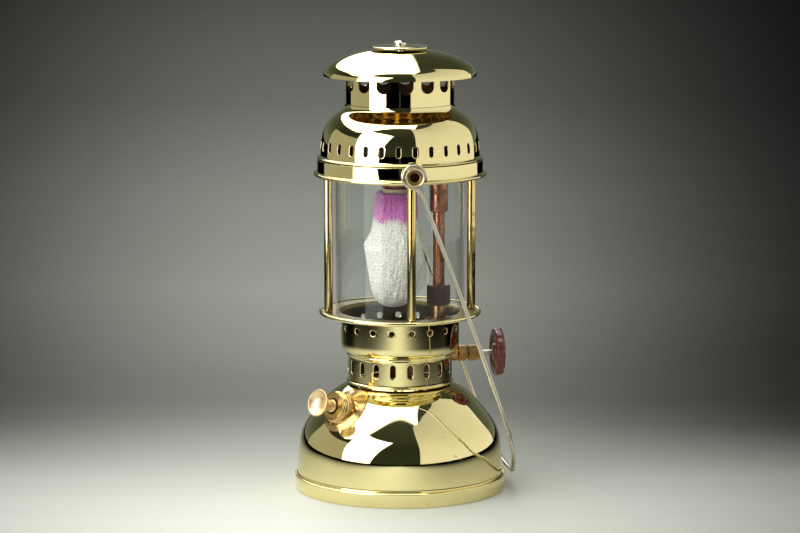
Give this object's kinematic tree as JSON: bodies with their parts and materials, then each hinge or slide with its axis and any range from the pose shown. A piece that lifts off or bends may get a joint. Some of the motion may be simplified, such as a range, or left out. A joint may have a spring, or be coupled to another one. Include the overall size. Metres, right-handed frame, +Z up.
{
  "type": "kerosene pressure lantern",
  "caption": "Polished brass kerosene pressure lantern with hand pump, glass globe, hanging cloth mantle, vented hood and wire bail.",
  "frame": {"origin": "middle of the foot ring, on the plane the lantern stands on", "axes": "+Z up along the lantern's axis; +X along the control spindle towards its wheel; the bail pivots lie on the Y axis and the pump is on the -X, -Y side"},
  "size_m": [0.1731, 0.17, 0.3609],
  "materials": {
    "polishedBrass": "mirror polished",
    "plainBrass": "turned, satin",
    "copper": "copper, heat stained",
    "steel": "satin",
    "nickel": "bright nickel",
    "phenolic": "moulded, glossy",
    "glass": "clear",
    "cloth": "loose knit",
    "ceramic": "unglazed",
    "leather": "oiled",
    "rubber": "matt",
    "enamel": "white dial"
  },
  "bodies": {
    "tank": {"tank_shell": "polishedBrass", "tank_bottom_plate": "plainBrass", "foot_ring": "polishedBrass", "cage_seat_ring": "plainBrass", "tank_boss": "plainBrass", "pump_barrel": "plainBrass", "pump_cap": "plainBrass", "pump_valve_body": "plainBrass", "filler_neck": "plainBrass", "carburettor_body": "plainBrass", "carburettor_nut": "plainBrass", "fuel_pickup_tube": "copper", "valve_lock_nut": "plainBrass", "packing_nut": "plainBrass", "preheating_cup": "plainBrass", "vaporizer_nut": "copper", "vaporizer_tube": "copper", "vaporizer_sleeve": "copper", "jet": "plainBrass"},
    "plunger": {"pump_knob": "plainBrass", "plunger_rod": "steel", "piston_washer_outer": "plainBrass", "piston_leather_cup": "leather", "piston_nut": "plainBrass"},
    "check_valve": {"check_valve_poppet": "rubber"},
    "filler_cap": {"filler_cap": "plainBrass", "filler_gasket": "rubber", "gauge_case": "polishedBrass", "gauge_dial": "enamel", "gauge_lens": "glass"},
    "gauge_pointer": {"gauge_pointer": "steel"},
    "release_screw": {"release_screw": "plainBrass"},
    "control": {"control_spindle": "steel", "control_wheel": "phenolic", "wheel_screw": "nickel"},
    "needle": {"cleaning_needle": "steel"},
    "cage": {"cage_base": "polishedBrass", "cage_post_right": "polishedBrass", "cage_post_back": "polishedBrass", "cage_post_left": "polishedBrass", "cage_post_front": "polishedBrass", "cage_top_ring": "polishedBrass", "globe": "glass", "bail_bush_front": "plainBrass", "bail_bush_back": "plainBrass"},
    "bail": {"bail": "nickel"},
    "burner": {"inner_casing": "plainBrass", "mixing_tube": "plainBrass", "burner_head": "copper", "ceramic_nozzle": "ceramic", "mantle": "cloth", "mantle_tie": "cloth"},
    "hood": {"hood_dome": "polishedBrass", "hood_chimney": "polishedBrass", "hood_bridge": "plainBrass", "top_cap": "polishedBrass", "cap_washer": "polishedBrass", "cap_screw": "nickel"}
  },
  "joints": [
    {"name": "pump_stroke", "type": "slide", "parent": "tank", "child": "plunger", "axis": [-0.7841, -0.5429, 0.3007], "range_m": [0, 0.1]},
    {"name": "check_valve_lift", "type": "slide", "parent": "tank", "child": "check_valve", "axis": [-0.7841, -0.5429, 0.3007], "range_m": [-0.0025, 0], "stiffness_N_per_m": 40, "springref_m": 0.001},
    {"name": "filler_cap_lift", "type": "slide", "parent": "tank", "child": "filler_cap", "axis": [0, 0.5299, 0.848], "range_m": [0, 0.03]},
    {"name": "pressure_reading", "type": "hinge", "parent": "filler_cap", "child": "gauge_pointer", "pos_m": [0, 0.057, 0.0762], "axis": [0, -0.5299, -0.848], "range_deg": [0, 240], "stiffness_Nm_per_rad": 0.001},
    {"name": "release_screw_turn", "type": "hinge", "parent": "filler_cap", "child": "release_screw", "pos_m": [0, 0.06018, 0.08129], "axis": [1, 0, 0], "range_deg": [0, 360]},
    {"name": "control_turn", "type": "hinge", "parent": "tank", "child": "control", "pos_m": [0.08, 0, 0.1076], "axis": [1, 0, 0], "range_deg": [0, 180]},
    {"name": "needle_lift", "type": "slide", "parent": "tank", "child": "needle", "axis": [0, 0, 1], "range_m": [0, 0.003]},
    {"name": "cage_lift", "type": "slide", "parent": "tank", "child": "cage", "axis": [0, 0, 1], "range_m": [0, 0.18]},
    {"name": "bail_swing", "type": "hinge", "parent": "cage", "child": "bail", "pos_m": [0, 0, 0.2604], "axis": [0, -1, 0], "range_deg": [0, 320]},
    {"name": "burner_lift", "type": "slide", "parent": "cage", "child": "burner", "axis": [0, 0, 1], "range_m": [0, 0.12]},
    {"name": "hood_lift", "type": "slide", "parent": "burner", "child": "hood", "axis": [0, 0, 1], "range_m": [0, 0.1]}
  ],
  "couplings": [
    {"joint": "needle_lift", "follows": "control_turn", "m_per_rad": 0.000954}
  ]
}
